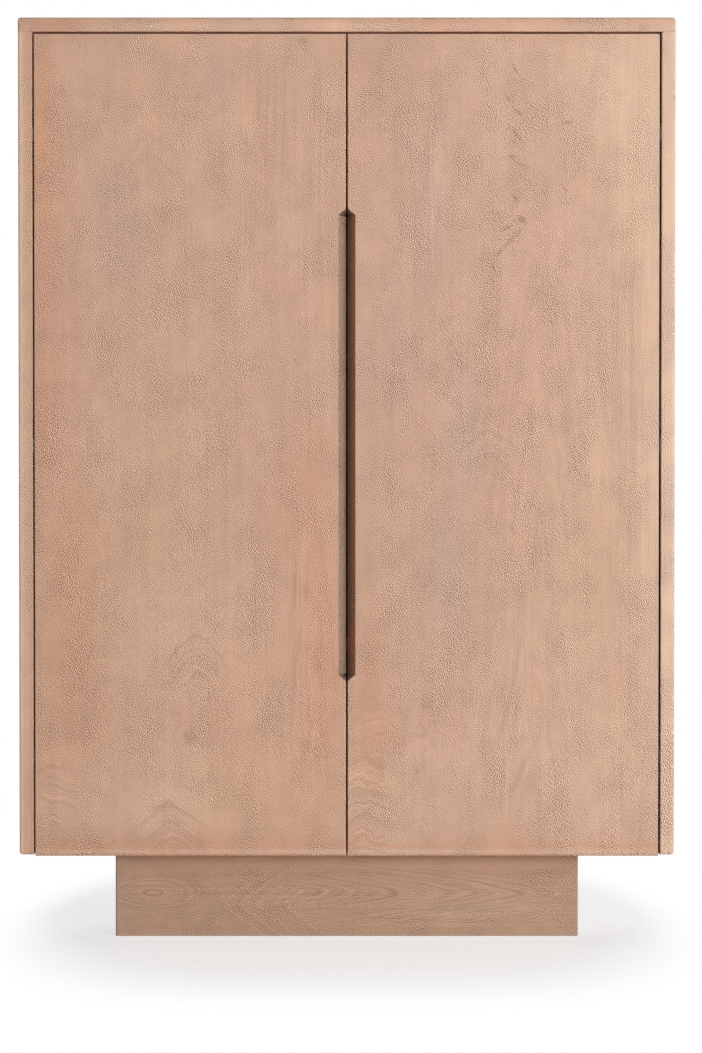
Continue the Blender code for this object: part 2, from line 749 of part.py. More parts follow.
def carry(parent, child):
    """Parents a piece where it stands."""
    bpy.context.view_layer.update()
    child.parent = parent
    child.matrix_parent_inverse = parent.matrix_world.inverted()


def shade_round_pieces():
    for piece in PARTS.objects:
        if piece.type == "MESH":
            piece.data.shade_smooth()
            piece.data.set_sharp_from_angle(angle=SMOOTH_ANGLE)


def build():
    make_top_panel()
    make_inner_boards()
    make_shelf_pins()
    make_plinth()
    for word, side in SIDES.items():
        make_side(word, side)
        door = make_door(word, side)
        strike = make_catch(word, side)
        door_axis = axis_empty(word + "_door_axis", side, HINGE_GAP / 2,
                               AXIS_SETBACK)
        fork_axis = axis_empty(word + "_fork_axis", side, -ROOT_DEPTH,
                               ROOT_SETBACK)
        tongue_axis = axis_empty(word + "_tongue_axis", side,
                                 HINGE_GAP + ROOT_DEPTH, ROOT_SETBACK, door_axis)
        carry(door_axis, door)
        carry(door_axis, strike)
        for number, height in enumerate(HINGE_HEIGHTS, start=1):
            tag = f"{word}_hinge_{number}"
            make_leaf(tag + "_case_leaf", side, "case", height)
            carry(door_axis, make_leaf(tag + "_door_leaf", side, "door", height))
            carry(fork_axis, make_fork(tag + "_fork", side, height))
            carry(tongue_axis, make_tongue(tag + "_tongue", side, height))
    shade_round_pieces()


build()
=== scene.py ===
# %% [markdown]
# # A tall wooden cabinet with a washed, sandblasted finish
#
# This lesson dresses a finished model of a two-door cabinet. The model arrives as
# a frame: every board, door, hinge and pin is already there, at its real size and in
# metres. What is missing is everything the eye reads as "wood", "steel" or
# "photographed in a studio". We add that step by step: the camera, a small tool for
# shader maths, light and floor, the woods, the metals, and the little screws.
#
# The first cell loads the frame and remembers its outer box, since dressing a
# cabinet must not make it larger.

# %% Load the frame
import math

import bmesh
import bpy
from mathutils import Matrix, Vector


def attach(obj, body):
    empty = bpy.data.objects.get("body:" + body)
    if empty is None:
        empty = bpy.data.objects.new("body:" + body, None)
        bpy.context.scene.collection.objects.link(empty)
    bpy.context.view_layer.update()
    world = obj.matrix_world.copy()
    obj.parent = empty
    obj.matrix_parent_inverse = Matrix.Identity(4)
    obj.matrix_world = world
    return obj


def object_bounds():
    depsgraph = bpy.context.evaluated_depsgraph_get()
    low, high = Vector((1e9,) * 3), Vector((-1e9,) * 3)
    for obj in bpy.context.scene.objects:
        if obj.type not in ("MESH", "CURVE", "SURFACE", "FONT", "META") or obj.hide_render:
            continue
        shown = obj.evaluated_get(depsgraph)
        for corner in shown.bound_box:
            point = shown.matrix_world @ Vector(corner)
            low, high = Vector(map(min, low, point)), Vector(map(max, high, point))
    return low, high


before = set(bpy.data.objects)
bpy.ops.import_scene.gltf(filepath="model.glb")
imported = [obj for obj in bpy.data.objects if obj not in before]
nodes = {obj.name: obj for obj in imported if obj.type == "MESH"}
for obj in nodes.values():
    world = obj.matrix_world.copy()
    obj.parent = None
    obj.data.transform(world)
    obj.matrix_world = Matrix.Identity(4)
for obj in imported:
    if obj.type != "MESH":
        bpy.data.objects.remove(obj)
cad_low, cad_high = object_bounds()
front = cad_low.y
scene = bpy.context.scene
print(f"{len(nodes)} pieces, {(cad_high - cad_low) * 1000} mm")

# %% [markdown]
# ## The camera
#
# A product photograph of a cabinet is taken from straight ahead, with a long lens,
# so that the uprights stay nearly parallel. Here they close in by only four pixels
# over the whole height. That small slant is a measurement: it tells how far away the
# camera stood and how much it was tipped down.
#
# A camera could be placed by eye and then shifted until the outline fits. Working
# from distance, height and tilt is better, because the picture then keeps its real
# perspective, and we can also run the sum backwards: `on_front` turns a pixel into a
# place on the door faces. We use it later to put knots where the photograph has them.

# %% Place the camera
PHOTO_WIDTH = 702
PHOTO_HEIGHT = 1053
FOCAL_PIXELS = 2626
FILM_SIZE = 36                 # millimetres along the long side of the picture
CAMERA_DISTANCE = 4.0
CAMERA_ASIDE = 0.0065
CAMERA_HEIGHT = 0.712
CAMERA_TILT = math.radians(1.083)
DOORS_MIDDLE = (347, 444)      # in pixels

camera_data = bpy.data.cameras.new("camera")
camera_data.lens = FOCAL_PIXELS * FILM_SIZE / PHOTO_HEIGHT
camera_data.sensor_width = FILM_SIZE
camera = bpy.data.objects.new("camera", camera_data)
scene.collection.objects.link(camera)
scene.camera = camera
camera.location = (CAMERA_ASIDE, front - CAMERA_DISTANCE, CAMERA_HEIGHT)
camera.rotation_euler = (math.pi / 2 - CAMERA_TILT, 0, 0)


def on_front(pixel_x, pixel_y, behind=0.0):
    """The x and z that a pixel shows on the door faces, or so far behind them."""
    across = (pixel_x - PHOTO_WIDTH / 2) / FOCAL_PIXELS
    down = math.atan((pixel_y - PHOTO_HEIGHT / 2) / FOCAL_PIXELS) + CAMERA_TILT
    away = CAMERA_DISTANCE + behind
    return (CAMERA_ASIDE + away * across, CAMERA_HEIGHT - away * math.tan(down))


print("lens", round(camera_data.lens, 1), "mm; middle of the doors",
      [round(value, 3) for value in on_front(*DOORS_MIDDLE)])

# %% [markdown]
# ## Shader maths as plain sums
#
# Most of this lesson is about surfaces, and a surface in Blender is a network of
# nodes. Clicking dozens of Math nodes together is slow and hard to read. So we wrap
# a node's output in a small class, `Value`, whose operators add the Math nodes for
# us: `1 - mask * 0.3` becomes two nodes, linked in the right order.

# %% A class for values


class Value:
    """A node's output that can be used in a Python sum."""

    def __init__(self, network, socket):
        self.network = network
        self.socket = socket

    def math(self, operation, *others):
        settings = {"operation": operation}
        return self.network.node("ShaderNodeMath", settings, [self, *others])

    def swapped(self, operation, other):
        settings = {"operation": operation}
        return self.network.node("ShaderNodeMath", settings, [other, self])

    def __add__(self, other):
        return self.math("ADD", other)

    def __sub__(self, other):
        return self.math("SUBTRACT", other)

    def __mul__(self, other):
        return self.math("MULTIPLY", other)

    def __truediv__(self, other):
        return self.math("DIVIDE", other)

    def __rsub__(self, other):
        return self.swapped("SUBTRACT", other)

    def __rtruediv__(self, other):
        return self.swapped("DIVIDE", other)

    __radd__ = __add__
    __rmul__ = __mul__

    def above(self, low, high):
        """Zero at low and one at high, with a smooth rise between."""
        settings = {"interpolation_type": "SMOOTHSTEP"}
        return self.network.node("ShaderNodeMapRange", settings,
                                 {"Value": self, "From Min": low, "From Max": high})


print("+, -, * and / on a value now add a Math node each")

# %% [markdown]
# ## One method for every node
#
# `Network` is a tree of nodes. Its `node` method makes any of them: first the
# settings, such as a Math node's operation, and then the sockets, each a number, a
# colour or another node's value. The world and every material are such trees, so one
# method serves them all. Blender's own way is a line for each node, each socket and
# each link, and in so many lines the sum itself is lost.

# %% A class for a network of nodes


class Network:
    """A tree of nodes, built one node at a time."""

    def __init__(self, tree):
        self.tree = tree
        tree.nodes.clear()

    def node(self, kind, settings, sockets, result=0):
        """Makes one node and returns the value of its result, if it has one."""
        made = self.tree.nodes.new(kind)
        for name, setting in settings.items():
            setattr(made, name, setting)
        pairs = sockets.items() if isinstance(sockets, dict) else enumerate(sockets)
        for which, value in pairs:
            if isinstance(value, Value):
                self.tree.links.new(value.socket, made.inputs[which])
            else:
                made.inputs[which].default_value = value
        return Value(self, made.outputs[result]) if made.outputs else None


print("node() can make any of Blender's",
      sum(name.startswith("ShaderNode") for name in dir(bpy.types)), "shader nodes")

# %% [markdown]
# ## The light
#
# The photograph has one large soft lamp on the right of the camera. We know it from
# the finger pull: its left slope faces right and is bright, its right slope faces
# left and is nearly black. Everything else is filled evenly by a white studio.
#
# The fill is the world's colour. A world could also be a picture of a studio, but a
# plain one is easier to balance. Only the camera and mirror-like rays see it as pure
# white. Rays that light the wood see a softer value, so a wood colour renders about
# as it is written. The Standard view shows it that way too, without a film's curve.

# %% Fill the studio with light
FILL_STRENGTH = 0.29
FILL_COLOUR = (0.97, 0.99, 1.0, 1.0)
WHITE = (1.0, 1.0, 1.0, 1.0)

world = bpy.data.worlds.new("studio")
scene.world = world
world.use_nodes = True
sky = Network(world.node_tree)
camera_ray, glossy_ray, clear_ray = (
    sky.node("ShaderNodeLightPath", {}, {}, result=f"Is {kind} Ray")
    for kind in ("Camera", "Glossy", "Transmission"))
sees_white = camera_ray.math("MAXIMUM", glossy_ray).math("MAXIMUM", clear_ray)
fill = sky.node("ShaderNodeBackground", {},
                {"Color": FILL_COLOUR, "Strength": FILL_STRENGTH})
white = sky.node("ShaderNodeBackground", {}, {"Color": WHITE, "Strength": 1.0})
studio = sky.node("ShaderNodeMixShader", {}, [sees_white, fill, white])
sky.node("ShaderNodeOutputWorld", {}, {"Surface": studio})
scene.view_settings.view_transform = "Standard"
print("the fill is", FILL_STRENGTH, "of white")

# %% Hang the lamp
KEY_WATTS = 285
KEY_COLOUR = (1.0, 0.985, 0.96)
KEY_PLACE = Vector((4.0, front - 4.8, 1.6))
KEY_TARGET = Vector((0.1, front, 0.75))
KEY_SIZE = 3.4

key_data = bpy.data.lights.new("key", "AREA")
key_data.energy = KEY_WATTS
key_data.color = KEY_COLOUR
key_data.size = KEY_SIZE
key = bpy.data.objects.new("key", key_data)
scene.collection.objects.link(key)
key.location = KEY_PLACE
key.rotation_euler = (KEY_TARGET - KEY_PLACE).to_track_quat("-Z", "Y").to_euler()
print("key lamp", round((KEY_TARGET - KEY_PLACE).length, 2), "m away")

# %% [markdown]
# ## A material
#
# A material is a network with a Principled shader at its end. Colours must not pass
# through Math nodes, which would turn them grey, so `Surface` gives them `mix` and
# `scaled`. Places go through `stretched`, and `noise` turns a place into soft random
# hills. All of this could be node groups, but a Python method is easier to read and
# leaves the numbers where they are used.

# %% A class for materials
MIX_COLOURS = (6, 7)           # a Mix node's colour sockets, which share their names
MIXED_COLOUR = 2               # with its number and vector sockets
NOISE_MEAN = 0.5
NOISE_GAIN = 3.0
IN_LAYER = 0.0                 # noise is finest in the layers of its lattice
MIDWAY = 0.5                   # and broadest midway between two


class Surface(Network):
    """One material, made node by node."""

    def __init__(self, name):
        self.material = bpy.data.materials.new(name)
        self.material.use_nodes = True
        super().__init__(self.material.node_tree)

    def own_place(self):
        """Where a point is, in metres and on the piece's own axes."""
        return self.node("ShaderNodeTexCoord", {}, {}, result="Object")

    def parts(self, place):
        """The x, y and z of a place."""
        split = self.node("ShaderNodeSeparateXYZ", {}, [place]).socket.node
        return [Value(self, output) for output in split.outputs]

    def joined(self, x, y, z):
        """A place from its x, y and z."""
        return self.node("ShaderNodeCombineXYZ", {}, [x, y, z])

    def stretched(self, place, factors, move):
        """A place with each axis multiplied and then moved."""
        return self.node("ShaderNodeVectorMath", {"operation": "MULTIPLY_ADD"},
                         {0: place, 1: factors, 2: move})

    def mix(self, share, first, second, blend="MIX"):
        """A colour that goes from the first to the second."""
        low, high = MIX_COLOURS
        return self.node("ShaderNodeMix", {"data_type": "RGBA", "blend_type": blend},
                         {0: share, low: first, high: second}, result=MIXED_COLOUR)

    def scaled(self, colour, factor):
        """A colour made lighter or darker by a factor."""
        return self.node("ShaderNodeVectorMath", {"operation": "SCALE"},
                         {0: colour, "Scale": factor})

    def noise(self, place, size, detail=0.0, move=0.0, lift=MIDWAY):
        """Noise of mean zero and about one at its peaks; size is across and along."""
        across, along = size
        scaled = self.stretched(place, (1 / across, 1 / across, 1 / along),
                                (move, lift, move))
        raw = self.node("ShaderNodeTexNoise", {},
                        {"Vector": scaled, "Scale": 1.0, "Detail": detail})
        return (raw - NOISE_MEAN) * NOISE_GAIN

    def finish(self, colour, roughness, relief, height, metallic=0.0):
        """Ends the material with a shader, and a relief that is so high in metres."""
        normal = self.node("ShaderNodeBump", {},
                           {"Strength": 1.0, "Distance": height, "Height": relief})
        shader = self.node("ShaderNodeBsdfPrincipled", {},
                           {"Base Color": colour, "Roughness": roughness,
                            "Metallic": metallic, "Normal": normal})
        self.node("ShaderNodeOutputMaterial", {}, {"Surface": shader})
        return self.material


print("a noise is", NOISE_GAIN, "times wider than Blender's, about zero")

# %% [markdown]
# ## The floor
#
# The cabinet stands on a white floor without a horizon, and only a soft grey shadow
# shows that there is a floor at all. A real floor plane catches that shadow, and two
# things keep the rest of it white. Part of its brightness, seen by the camera alone,
# is a glow that no shadow can darken. And away from the cabinet the floor turns into
# that glow altogether, along a soft oval edge. A shadow painted as a picture would
# be simpler, but it would be wrong as soon as a door opens.

# %% Lay the floor
FLOOR_SIZE = 14
SHADOW_STRENGTH = 0.40
SHADOW_LEVEL = 0.90            # brightness of the open floor that counts as white
FLOOR_ALBEDO = 0.80
FLOOR_TINT = (0.98, 1.0, 1.03)
OVAL_MIDDLE = Vector((0.0, -0.05))
OVAL_RADII = Vector((0.56, 0.72))
OVAL_SOFT_FROM = 0.45
BEHIND_FROM = -0.24            # from here back, more light comes round the cabinet
BEHIND_TO = -0.02
BEHIND_LIFT = 0.45


def floor_surface():
    """White all over, but for the shadow inside a soft oval round the cabinet."""
    surface = Surface("white_floor")
    x, y, _ = surface.parts(surface.own_place())
    aside = (x - OVAL_MIDDLE.x) / OVAL_RADII.x
    ahead = (y - OVAL_MIDDLE.y) / OVAL_RADII.y
    squared = aside * aside
    distance = (squared * squared + ahead * ahead).math("SQRT")
    behind = y.above(BEHIND_FROM, BEHIND_TO) * BEHIND_LIFT
    outside = distance.above(OVAL_SOFT_FROM, 1.0).math("MAXIMUM", behind)
    grey = SHADOW_STRENGTH / SHADOW_LEVEL
    shadowed = (*(grey * tint for tint in FLOOR_TINT), 1)
    lit = surface.node("ShaderNodeBsdfDiffuse", {}, {"Color": shadowed})
    lift = surface.node("ShaderNodeEmission", {},
                        {"Strength": 1.0 - SHADOW_STRENGTH})
    near = surface.node("ShaderNodeAddShader", {}, [lit, lift])
    far = surface.node("ShaderNodeEmission", {}, {"Strength": 1.0})
    shown = surface.node("ShaderNodeMixShader", {}, [outside, near, far])
    albedo = (FLOOR_ALBEDO, FLOOR_ALBEDO, FLOOR_ALBEDO, 1)
    plain = surface.node("ShaderNodeBsdfDiffuse", {}, {"Color": albedo})
    seen = surface.node("ShaderNodeLightPath", {}, {}, result="Is Camera Ray")
    both = surface.node("ShaderNodeMixShader", {}, [seen, plain, shown])
    surface.node("ShaderNodeOutputMaterial", {}, {"Surface": both})
    return surface.material


bpy.ops.mesh.primitive_plane_add(size=FLOOR_SIZE)
floor = bpy.context.object
floor.name = "floor"
floor.data.materials.append(floor_surface())
print("floor", FLOOR_SIZE, "m wide, its shadow fades", OVAL_RADII[:], "m out")

# %% [markdown]
# ## What the wood is
#
# The boards are a pale tropical hardwood that was sandblasted and then washed with a
# thin sandy stain. Up close three things are visible: the fine pebbles that the
# blasting left, a stain that settled unevenly, and the timber's own figure, with
# straight lines, a few short dark pores, and arcs where a branch once was.
#
# All of it follows the grain, so `Board` is a surface with axes of its own: across,
# deep and along the grain. Noise divided by a length in metres then has features of
# about that length. A wood photograph could be projected instead, but it would
# repeat, and it would not run correctly round the edges.
#
# What a board has in one spot only is given in rows. Each row starts with an oval:
# the pixel of its middle and its two radii in pixels. `placed` turns it into metres
# on the board, and `hills` makes a soft mask of it.

# %% Boards with axes that follow the grain
WANDER = (0.25, 0.70)          # every such size is across and along the grain
WANDER_REACH = 0.010
PIXEL = CAMERA_DISTANCE / FOCAL_PIXELS
HILL_REACH = 1.7               # where a spot ends, in radii


class Board(Surface):
    """A surface with a board's own axes: across, deep and along the grain."""

    def __init__(self, name, direction, move, behind):
        super().__init__(name)
        self.direction = direction
        self.move = move
        self.behind = behind
        place = self.stretched(self.own_place(), (1, 1, 1), (0, -front - behind, 0))
        if direction == "X":
            x, y, z = self.parts(place)
            place = self.joined(z, y, x)
        self.straight = place
        self.deep = self.parts(place)[1]
        aside = self.noise(place, WANDER, move=move) * WANDER_REACH
        self.bent = self.node("ShaderNodeVectorMath", {"operation": "ADD"},
                              [place, self.joined(aside, 0.0, 0.0)])

    def layer(self, size, detail=1.0, on=0.0):
        """Noise that wanders with the grain."""
        return self.noise(self.bent, size, detail, self.move + on)

    def placed(self, row):
        """A row's oval as metres across and along, and what follows in the row."""
        pixel_x, pixel_y, radius_x, radius_y, *what = row
        x, z = on_front(pixel_x, pixel_y, self.behind)
        if self.direction == "X":
            return (z, x, radius_y * PIXEL, radius_x * PIXEL), what
        return (x, z, radius_x * PIXEL, radius_y * PIXEL), what

    def in_radii(self, place, oval):
        """A place counted from the middle of an oval, in its radii."""
        across, along, radius_across, radius_along = oval
        return self.stretched(place, (1 / radius_across, 0, 1 / radius_along),
                              (-across / radius_across, 0, -along / radius_along))

    def away(self, place, oval):
        """How far a place is from the middle of an oval, in its radii."""
        return self.node("ShaderNodeVectorMath", {"operation": "LENGTH"},
                         [self.in_radii(place, oval)], result="Value")

    def hills(self, rows):
        """For each row a soft hill on its oval, and what else the row holds."""
        for row in rows:
            oval, what = self.placed(row)
            yield self.away(self.straight, oval).above(HILL_REACH, 0.0), *what


print("grain wanders", WANDER_REACH * 1000, "mm aside; one pixel is",
      round(PIXEL * 1000, 2), "mm")

# %% [markdown]
# ## The wash
#
# The stain is a thin sandy wash. It soaks in unevenly, so each board drifts between
# rose and sand over a forearm's length, and turns orange, grey or cream in patches
# the size of a hand. Where the blasting went deepest the wash stays milky. Then come
# the stains that the photograph shows in one place only, and with them a few marks of
# painted light.
#
# A colour ramp on one noise would give the same few colours in the same order every
# time. Mixing one stain after another over the wood lets any two of them meet.

# %% The colour of the wash
DRIFT = (0.130, 0.36)
TINT = (0.048, 0.100)
NEXT_NOISE = 7.0               # moves a noise on, for a second one of its size
SPAN = 0.9                     # from minus to plus this, noise fills a mix
MILKY = 0.50
ROSE = (0.690, 0.415, 0.300, 1)
SAND = (0.675, 0.422, 0.294, 1)
ORANGE = (0.715, 0.374, 0.236, 1)
ASH = (0.630, 0.422, 0.338, 1)
CREAM = (0.760, 0.505, 0.358, 1)
HAZE = (0.700, 0.448, 0.322, 1)
DRIFT_STAINS = (               # from and to this much noise, a share, a colour
    (0.1, 1.6, 0.90, ORANGE),
    (-0.1, -1.6, 0.90, ASH),
)
TINT_STAINS = (
    (0.0, 1.3, 0.65, ORANGE),
    (0.0, -1.3, 0.50, CREAM),
)


def washed(board, rough, stains_and_light):
    """The colour of the wash, with its stains and painted light, before any light and dark
    is laid over it.
    """
    colour = board.mix(board.layer(DRIFT).above(-SPAN, SPAN), ROSE, SAND)
    for noise, rows in ((board.layer(DRIFT, on=NEXT_NOISE), DRIFT_STAINS),
                        (board.layer(TINT, detail=2.0), TINT_STAINS)):
        for low, high, share, stain_light_or_shade in rows:
            colour = board.mix(noise.above(low, high) * share, colour, stain_light_or_shade)
    colour = board.mix(rough * MILKY, colour, HAZE)
    # rows here are stains, and some painted light: highlights and light at the doors' feet
    for hill, stain_light_or_shade, share in board.hills(stains_and_light):
        colour = board.mix(hill * share, colour, stain_light_or_shade)
    return colour


print("every board has", 2 + len(DRIFT_STAINS) + len(TINT_STAINS) + 1, "stains_and_light")

# %% [markdown]
# ## Rings and arches
#
# Straight year rings are simply a noise stretched far along the grain. Where a branch
# once was, they swirl. A swirl is a noise of one number only: the distance from the
# branch, or for an arch a height that falls away to both sides, as on a board that
# was cut off-centre. So every ring closes, and a little wobble keeps it from looking
# drawn with compasses.
#
# Bending the straight rings round the spot would be closer to how a tree grows, but
# it smears them just where they should be finest.

# %% Swirls
PLATEAU = 0.6                  # a figure keeps its full strength to here, in radii
ARCH_ROUND = 0.03              # how round the top of an arch is


def arches(board, oval, slope):
    """A value that is the same all along an arch, and one more every radius up."""
    across, _, along = board.parts(board.in_radii(board.straight, oval))
    leg = (across * across + ARCH_ROUND).math("SQRT")
    return along + leg * (slope * oval[2] / oval[3])


def swirls(board, figure, wobbles):
    """Rings and arches where a branch once was, as shares of the brightness."""
    *size, reach = wobbles
    wobble = board.noise(board.straight, size, detail=1.0, move=board.move) * reach
    total = 0.0
    for row in figure:
        oval, (rings, share, slope) = board.placed(row)
        away = board.away(board.straight, oval)
        hill = away.above(HILL_REACH, PLATEAU)
        if slope:
            away = arches(board, oval, slope)
        turn = board.joined((away + wobble) * rings, board.move, 0.0)
        total = board.noise(turn, (1, 1), detail=2.0) * hill * share + total
    return total


print("a figure fades from", PLATEAU, "to", HILL_REACH, "radii")

# %% [markdown]
# ## Pebbles
#
# The sand leaves the surface pebbled. The wash was rubbed off the top of each pebble,
# which is pale, and settled beside it, which is dark; the same speckle is also painted
# light and shade of the pebbles' relief. So the light and dark is each pebble's height
# less that of its neighbours, a millimetre and a half away across and along the grain.
# The noise is read in a layer of its lattice, where it is finest.
#
# Real displacement would shape each pebble, but they are less than a millimetre high
# and only their shading shows, which a Bump gives for a small part of the work.

# %% Pebbles
PEBBLE = (0.0015, 0.0014)
PEBBLE_STEPS = ((0.0015, 0, 0), (0, 0, 0.0015))


def pebbles(board, strength):
    """The relief of the pebbles, and the light and dark round each of them."""
    relief = board.noise(board.straight, PEBBLE, move=board.move, lift=IN_LAYER)
    shade = relief * len(PEBBLE_STEPS)
    for step in PEBBLE_STEPS:
        beside = board.stretched(board.straight, (1, 1, 1), step)
        shade = shade - board.noise(beside, PEBBLE, move=board.move, lift=IN_LAYER)
    return relief * strength, shade * strength


print("pebbles about", 2 * PEBBLE[0] * 1000, "mm from top to top")

# %% [markdown]
# ## Pores, marks and strokes
#
# Pores are short dark dashes, long along the grain: a stretched noise of which only
# the peaks count. The photograph also has a few small knots, and dark strokes that
# lean across the grain where the blasting tore it. Each of these is a thin oval. A
# stroke leans because the place is turned round its middle before it is measured.
# Grooves in the mesh would do as well, but they are finer than the eye can tell.

# %% Pores, marks and strokes
PORE = (0.0013, 0.0090)
PORE_PEAKS = (0.95, 1.5)
PORE_SHARE = 0.30
STROKE_PLATEAU = 0.2
STROKE_SHARE = 1.25


def leaning(board, oval, lean):
    """The board's places, turned so that a stroke which leans stands upright."""
    across, along, *_ = oval
    return board.node("ShaderNodeVectorRotate", {"rotation_type": "AXIS_ANGLE"},
                      {"Vector": board.straight, "Center": (across, 0, along),
                       "Axis": (0, 1, 0), "Angle": -math.radians(lean)})


def pores(board, marks, strokes):
    """How dark each place is with pores, with marks and with strokes."""
    dark = board.layer(PORE, detail=0.0).above(*PORE_PEAKS) * PORE_SHARE
    for hill, share in board.hills(marks):
        dark = dark + hill * share
    for row in strokes:
        oval, (lean, share) = board.placed(row)
        away = board.away(leaning(board, oval, lean), oval)
        hill = away.above(HILL_REACH, STROKE_PLATEAU)
        dark = dark + hill * (share * STROKE_SHARE)
    return dark


print("pores about", PORE[1] * 1000, "mm long")

# %% [markdown]
# ## One recipe for all boards
#
# `wood` puts these together. The brightness is built up in layers, from a hand's
# width down to a pinhead, each a noise with a size, and a strength as a share of the
# brightness. One fine noise in one ramp would do for a small box, but on a tall door
# the eye wants to see something at every distance. Last come the colours that follow an
# edge of the board: painted shade in the gaps, painted highlights and light, and greyed
# edges.
#
# The front edges of the case caught more of the blast than its broad faces, so they
# may have a grit of their own. It fades out two to four millimetres behind the front.

# %% The wood recipe
SOFT_LAYERS = (                # size, detail and share of the brightness
    ((0.045, 0.050), 2.0, 0.072),
    ((0.018, 0.024), 1.0, 0.044),
    ((0.0065, 0.0090), 1.0, 0.044),
)
STREAK = (0.011, 0.30)
STREAK_SHARE = 0.032
RING = (0.0045, 0.55)
LINE = (0.0024, 0.12)
LINE_SHARE = 0.012
ROUGH_PATCH = (0.036, 0.066)
ROUGH_GAIN = 1.4
ROUGH_LEAST = 0.35
EDGE_DEPTH = 0.002
SPECKLE = (0.740, 0.580, 0.470)
SPECKLE_SHARE = 0.26
PORE_STAIN = (0.270, 0.140, 0.080, 1)
RELIEF_HEIGHT = 0.0003
DULL = 0.70                    # roughness between the pebbles
TOP_GLOSS = 0.05               # how much smoother a pebble's top is
WOBBLES = (0.022, 0.034, 0.18)


def wood(name, direction, move, light=1.0, behind=0.0, grit=1.0, edge_grit=None,
         ring_share=0.030, stains_and_light=(), figure=(), wobbles=WOBBLES, lines=(), marks=(),
         strokes=(), edges=(), hollow=None):
    """A board's material; rows of pixels place what a board has in one spot only."""
    board = Board(name, direction, move, behind)
    if edge_grit:
        at_front = board.deep.above(2 * EDGE_DEPTH, EDGE_DEPTH)
        grit = at_front * (edge_grit - grit) + grit
        ring_share = ring_share - at_front * (ring_share / 2)
    rough = board.layer(ROUGH_PATCH, detail=2.0).above(-SPAN, SPAN)
    relief, shade = pebbles(board, (rough * ROUGH_GAIN + ROUGH_LEAST) * grit)
    line_share = LINE_SHARE
    for hill, share in board.hills(lines):
        line_share = hill * share + line_share
    line = board.layer(LINE) * line_share

    brightness = swirls(board, figure, wobbles) + line + 1.0
    for size, detail, share in SOFT_LAYERS:
        brightness = board.noise(board.straight, size, detail, move) * share + brightness
    brightness = board.layer(STREAK) * STREAK_SHARE + brightness
    brightness = board.layer(RING, detail=2.0) * ring_share + brightness

    dark = pores(board, marks, strokes)
    colour = board.scaled(washed(board, rough, stains_and_light), brightness * light)
    colour = board.mix(dark, colour, PORE_STAIN)
    # the speckle is partly wash between the pebbles, partly painted light and shade of
    # their relief
    speckle = board.scaled(SPECKLE, shade * (SPECKLE_SHARE * light))
    colour = board.node("ShaderNodeVectorMath", {"operation": "ADD"}, [colour, speckle])
    # edge rows paint shade in the gaps, highlights and light on edges, and greyed edges
    for hill, stain_light_or_shade, share, depth in board.hills(edges):
        near = board.deep.above(depth * 2, depth)
        colour = board.mix(hill * near * share, colour, stain_light_or_shade)
    # the finger pull's hollow gets painted shade
    if hollow:
        colour = hollow(board, colour)
    return board.finish(colour, DULL - relief * TOP_GLOSS, relief - dark + line,
                        RELIEF_HEIGHT)


print("relief", RELIEF_HEIGHT * 1000, "mm high")

# %% [markdown]
# ## Inside the finger pull
#
# The long hollow between the doors is painted with shade. Its slopes are darker and
# browner than the faces, most of all on the side that the lamp doesn't reach, and
# nearly black at the two ends. The slopes could get a material of their own, face by
# face, but then the grain would break off at the rim. So the board's own material is
# darkened with painted shade where a point lies inside the hollow, and more so the
# deeper it lies.

# %% Painted shade in the hollow
PULL_HALF_WIDTH = 0.0150
PULL_HALF_LENGTH = 0.3620
PULL_END = 0.0122              # length of the slope at either end
PULL_DEPTH = 0.0170
PULL_EDGE = 0.0010
PULL_MIDDLE = 0.760
# painted shade of the hollow, as multipliers from its rim to its bottom
END_SLOPE_SHADE = ((0.40, 0.36, 0.34, 1), (0.04, 0.03, 0.03, 1))
LEFT_SLOPE_SHADE = ((0.60, 0.60, 0.61, 1), (0.45, 0.46, 0.48, 1))
RIGHT_SLOPE_SHADE = ((0.62, 0.46, 0.36, 1), (0.23, 0.21, 0.21, 1))


def pull_painted_shade(outer, inner):
    """Paints shade on the slopes of the finger pull on one door, more so the deeper it is.
    """
    def darken(surface, colour):
        across, deep, along = surface.parts(surface.own_place())
        depth = deep.above(front, front + PULL_DEPTH)
        behind = deep.above(front + PULL_EDGE / 2, front + PULL_EDGE)
        shallow = deep.above(front + PULL_DEPTH + 2 * PULL_EDGE,
                             front + PULL_DEPTH + PULL_EDGE)
        near = across.math("ABSOLUTE").above(PULL_HALF_WIDTH,
                                             PULL_HALF_WIDTH - PULL_EDGE)
        reach = (along - PULL_MIDDLE).math("ABSOLUTE")
        inside = reach.above(PULL_HALF_LENGTH + PULL_EDGE, PULL_HALF_LENGTH)
        at_end = reach.above(PULL_HALF_LENGTH - PULL_END - PULL_EDGE,
                             PULL_HALF_LENGTH - PULL_END)
        stain_light_or_shade = surface.mix(at_end, surface.mix(depth, outer, inner),
                            surface.mix(depth, *END_SLOPE_SHADE))
        dark = surface.mix(1.0, colour, stain_light_or_shade, "MULTIPLY")
        return surface.mix(behind * shallow * near * inside, colour, dark)
    return darken


print("hollow", 2 * PULL_HALF_LENGTH, "m long")

# %% [markdown]
# ## Stains and rings where the photograph has them
#
# A cabinet maker chooses boards for their look, and so do we. After its oval, each
# row says what the oval holds. A stain has a colour and a share, and a few such rows
# are painted light and highlights rather than stains. A figure has its number of rings,
# their strength, and a slope: zero for rings, and the steepness of the legs for arches.
# Lines have a strength and a dark mark has a share. A stroke leans so many degrees
# clockwise and has a share. An edge is such a colour that reaches only so deep into the
# board; many edges are painted shade, light and highlights.
#
# Painting a mask by hand would work too. Ovals with soft edges are enough, because
# the stain in the photograph has no hard edge anywhere.

